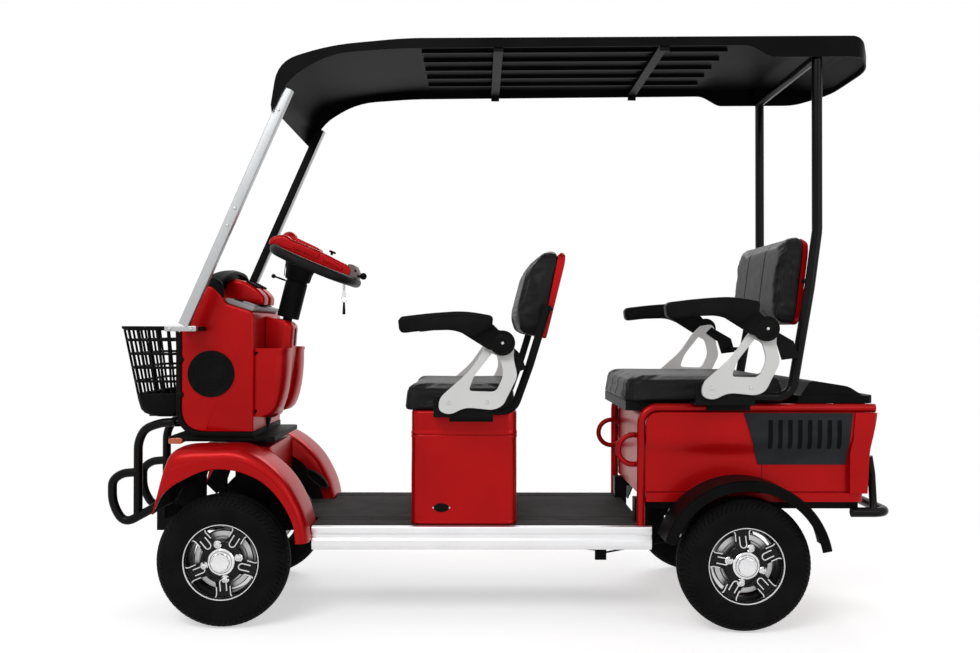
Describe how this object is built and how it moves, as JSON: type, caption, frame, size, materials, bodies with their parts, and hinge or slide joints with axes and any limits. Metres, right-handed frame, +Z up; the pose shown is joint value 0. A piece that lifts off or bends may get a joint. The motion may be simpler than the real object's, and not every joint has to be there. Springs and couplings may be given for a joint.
{
  "type": "mobility scooter",
  "caption": "Electric mobility scooter with two seat rows under a long roof, loop steering handle, front basket, lift-up armrests, lifting seat lid and rear trunk.",
  "frame": {"origin": "on the ground, under the middle of the scooter's length and width", "axes": "+X towards the rear, +Y to the scooter's right side, +Z up"},
  "size_m": [2.3724, 0.7906, 1.7238],
  "materials": {
    "red_paint": "glossy metallic red",
    "red_tube": "gloss",
    "black_gloss": "gloss",
    "black_plastic": "grained",
    "black_shell": "gloss",
    "grey_plastic": "satin",
    "leather": "grained",
    "alu": "satin",
    "white_metal": "gloss",
    "black_steel": "satin",
    "mat_rubber": "ribbed",
    "tyre": "moulded",
    "rim": "gloss black with machined edges",
    "chrome": "polished"
  },
  "bodies": {
    "chassis": {"chassis_frame": "black_steel", "rear_axle": "black_steel", "floor_mat": "mat_rubber", "side_rails": "alu", "front_body": "red_paint", "cowl": "red_paint", "cowl_edging": "black_plastic", "speakers": "black_plastic", "dash_bezel": "grey_plastic", "pockets": "red_paint", "hood": "black_plastic", "basket": "black_plastic", "front_bumper": "black_gloss", "pillars": "alu", "roof_shell": "black_shell", "roof_panel": "grey_plastic", "roof_straps": "black_steel", "roof_hoop": "black_gloss", "seat_box": "red_paint", "rear_box": "red_paint", "box_frame": "red_tube", "louvres": "grey_plastic", "rear_corners": "red_paint", "rear_fenders": "black_shell", "rear_bumper": "black_gloss", "assist_rings": "red_tube", "rear_cushion": "leather", "rear_backrest": "leather", "rear_back_shell": "red_paint", "rear_seat_frame": "black_steel", "rear_brackets": "white_metal"},
    "rear_lid": {"rear_lid": "black_shell"},
    "front_seat": {"seat_lid": "red_paint", "front_cushion": "leather", "front_backrest": "leather", "front_back_shell": "red_paint", "front_seat_frame": "black_steel", "front_brackets": "white_metal"},
    "armrest_front_left": {"armrest_front_left": "black_plastic"},
    "armrest_front_right": {"armrest_front_right": "black_plastic"},
    "armrest_rear_left": {"armrest_rear_left": "black_plastic"},
    "armrest_rear_right": {"armrest_rear_right": "black_plastic"},
    "steering": {"steering_column": "black_plastic", "steering_head": "red_paint", "loop_handle": "black_gloss"},
    "signal_lever": {"signal_lever": "black_plastic"},
    "drive_lever": {"drive_lever": "black_plastic"},
    "speed_dial": {"speed_dial": "black_plastic"},
    "key": {"key": "chrome"},
    "knuckle_left": {"knuckle_left": "black_steel"},
    "knuckle_right": {"knuckle_right": "black_steel"},
    "tie_rod": {"tie_rod": "black_steel"},
    "wheel_front_left": {"tyre_front_left": "tyre", "rim_front_left": "rim"},
    "wheel_front_right": {"tyre_front_right": "tyre", "rim_front_right": "rim"},
    "wheel_rear_left": {"tyre_rear_left": "tyre", "rim_rear_left": "rim"},
    "wheel_rear_right": {"tyre_rear_right": "tyre", "rim_rear_right": "rim"}
  },
  "joints": [
    {"name": "steering_turn", "type": "hinge", "parent": "chassis", "child": "steering", "pos_m": [-0.6645, 0, 0.894], "axis": [0.2402, 0, 0.9707], "range_deg": [-36, 36]},
    {"name": "knuckle_left_turn", "type": "hinge", "parent": "chassis", "child": "knuckle_left", "pos_m": [-0.7845, -0.225, 0.192], "axis": [0, 0, 1], "range_deg": [-30, 30]},
    {"name": "knuckle_right_turn", "type": "hinge", "parent": "chassis", "child": "knuckle_right", "pos_m": [-0.7845, 0.225, 0.192], "axis": [0, 0, 1], "range_deg": [-30, 30]},
    {"name": "tie_rod_turn", "type": "hinge", "parent": "knuckle_left", "child": "tie_rod", "pos_m": [-0.7005, -0.225, 0.192], "axis": [0, 0, 1], "range_deg": [-30, 30]},
    {"name": "wheel_front_left_spin", "type": "hinge", "parent": "knuckle_left", "child": "wheel_front_left", "pos_m": [-0.7845, -0.295, 0.192], "axis": [0, 1, 0], "continuous": true},
    {"name": "wheel_front_right_spin", "type": "hinge", "parent": "knuckle_right", "child": "wheel_front_right", "pos_m": [-0.7845, 0.295, 0.192], "axis": [0, 1, 0], "continuous": true},
    {"name": "wheel_rear_left_spin", "type": "hinge", "parent": "chassis", "child": "wheel_rear_left", "pos_m": [0.7095, -0.338, 0.192], "axis": [0, 1, 0], "continuous": true},
    {"name": "wheel_rear_right_spin", "type": "hinge", "parent": "chassis", "child": "wheel_rear_right", "pos_m": [0.7095, 0.338, 0.192], "axis": [0, 1, 0], "continuous": true},
    {"name": "front_seat_tilt", "type": "hinge", "parent": "chassis", "child": "front_seat", "pos_m": [-0.2485, 0, 0.548], "axis": [0, -1, 0], "range_deg": [0, 45]},
    {"name": "armrest_front_left_lift", "type": "hinge", "parent": "front_seat", "child": "armrest_front_left", "pos_m": [0.0175, -0.357, 0.821], "axis": [0, 1, 0], "range_deg": [0, 95]},
    {"name": "armrest_front_right_lift", "type": "hinge", "parent": "front_seat", "child": "armrest_front_right", "pos_m": [0.0175, 0.357, 0.821], "axis": [0, 1, 0], "range_deg": [0, 95]},
    {"name": "armrest_rear_left_lift", "type": "hinge", "parent": "chassis", "child": "armrest_rear_left", "pos_m": [0.7705, -0.357, 0.864], "axis": [0, 1, 0], "range_deg": [0, 95]},
    {"name": "armrest_rear_right_lift", "type": "hinge", "parent": "chassis", "child": "armrest_rear_right", "pos_m": [0.7705, 0.357, 0.864], "axis": [0, 1, 0], "range_deg": [0, 95]},
    {"name": "rear_lid_lift", "type": "hinge", "parent": "chassis", "child": "rear_lid", "pos_m": [0.8895, 0, 0.668], "axis": [0, -1, 0], "range_deg": [0, 60]},
    {"name": "signal_lever_swing", "type": "hinge", "parent": "steering", "child": "signal_lever", "pos_m": [-0.6645, 0, 0.894], "axis": [0.2402, 0, 0.9707], "range_deg": [-12, 12]},
    {"name": "drive_lever_swing", "type": "hinge", "parent": "steering", "child": "drive_lever", "pos_m": [-0.4375, -0.03, 1.027], "axis": [0, 1, 0], "range_deg": [-8, 8], "stiffness_Nm_per_rad": 0.2},
    {"name": "speed_dial_turn", "type": "hinge", "parent": "steering", "child": "speed_dial", "pos_m": [-0.5225, -0.02, 1.0947], "axis": [0.3688, 0, 0.9295], "range_deg": [-135, 135]},
    {"name": "key_turn", "type": "hinge", "parent": "steering", "child": "key", "pos_m": [-0.4785, -0.04, 1.007], "axis": [0, 0, 1], "range_deg": [0, 70]}
  ],
  "couplings": [
    {"joint": "knuckle_left_turn", "follows": "steering_turn", "ratio": 0.75},
    {"joint": "knuckle_right_turn", "follows": "steering_turn", "ratio": 0.75},
    {"joint": "tie_rod_turn", "follows": "steering_turn", "ratio": -0.75}
  ]
}
